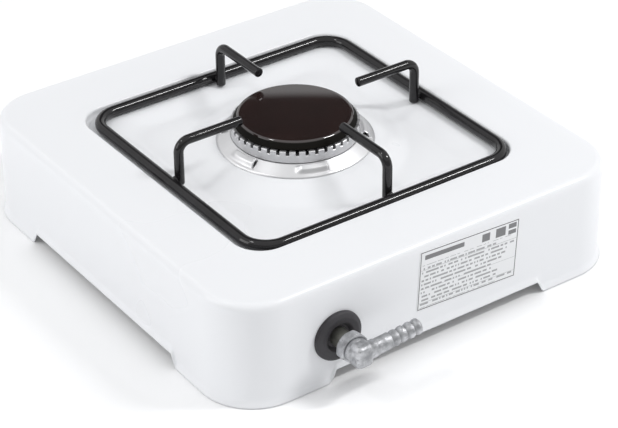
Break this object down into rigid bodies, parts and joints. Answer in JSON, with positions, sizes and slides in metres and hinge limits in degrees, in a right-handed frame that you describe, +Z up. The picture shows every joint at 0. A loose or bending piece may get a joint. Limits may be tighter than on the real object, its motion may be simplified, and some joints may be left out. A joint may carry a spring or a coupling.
{
  "type": "single burner gas stove",
  "caption": "Low square table-top gas stove: a pressed enamel casing with a sunken wire pan support round one capped burner, a tap knob in front and a hose tail behind.",
  "frame": {"origin": "on the table under the middle of the casing", "axes": "+Z up; +Y to the rear, where the gas inlet is; -Y to the front, where the knob is; +X to the right as seen from the front"},
  "size_m": [0.2836, 0.3449, 0.0945],
  "materials": {
    "white_enamel": "glossy vitreous enamel",
    "black_enamel": "glossy vitreous enamel",
    "cap_enamel": "glossy brown-black enamel",
    "bright_steel": "polished pressed sheet",
    "cast_aluminium": "satin casting",
    "brass": "machined",
    "zinc": "dull plated casting",
    "dark_pipe": "dark passivated tube",
    "steel": "plain steel",
    "black_rubber": "matte",
    "black_plastic": "moulded",
    "fibre": "pressed fibre",
    "label_film": "printed film"
  },
  "bodies": {
    "stove_body": {"casing": "white_enamel", "rating_label": "label_film", "trim_ring": "bright_steel", "burner_cup": "cast_aluminium", "burner_gasket": "fibre", "burner_screws": "steel", "mixing_tube": "cast_aluminium", "injector": "brass", "injector_washer": "fibre", "valve_body": "brass", "valve_cover": "steel", "valve_screws": "steel", "gas_pipe": "dark_pipe", "pipe_nut": "brass", "pipe_olive": "brass", "grommet": "black_rubber", "union_nut": "zinc", "sealing_washer": "fibre"},
    "pan_support": {"pan_frame": "black_enamel", "prong_right": "black_enamel", "prong_rear": "black_enamel", "prong_left": "black_enamel", "prong_front": "black_enamel"},
    "crown": {"burner_crown": "cast_aluminium"},
    "cap": {"burner_cap": "cap_enamel"},
    "shutter": {"air_shutter": "steel"},
    "tap_plug": {"valve_plug": "brass", "plug_spring": "steel"},
    "control_knob": {"spindle": "brass", "knob": "black_plastic", "knob_clip": "steel"},
    "elbow": {"hose_elbow": "zinc"}
  },
  "joints": [
    {"name": "pan_support_lift", "type": "slide", "parent": "stove_body", "child": "pan_support", "axis": [0, 0, 1], "range_m": [0, 0.08]},
    {"name": "burner_crown_lift", "type": "slide", "parent": "stove_body", "child": "crown", "axis": [0, 0, 1], "range_m": [0, 0.04]},
    {"name": "burner_cap_lift", "type": "slide", "parent": "crown", "child": "cap", "axis": [0, 0, 1], "range_m": [0, 0.04]},
    {"name": "air_shutter_turn", "type": "hinge", "parent": "stove_body", "child": "shutter", "pos_m": [0, -0.08, 0.031], "axis": [0, 1, 0], "range_deg": [0, 45]},
    {"name": "knob_turn", "type": "hinge", "parent": "stove_body", "child": "tap_plug", "pos_m": [0, -0.12, 0.031], "axis": [0, -1, 0], "range_deg": [0, 180]},
    {"name": "knob_push", "type": "slide", "parent": "tap_plug", "child": "control_knob", "axis": [0, 1, 0], "range_m": [0, 0.003], "stiffness_N_per_m": 900, "springref_m": -0.002, "deforming": ["plug_spring"]},
    {"name": "hose_elbow_swivel", "type": "hinge", "parent": "stove_body", "child": "elbow", "pos_m": [0.0727, 0.16615, 0.031], "axis": [0, 1, 0], "range_deg": [0, 180]}
  ]
}
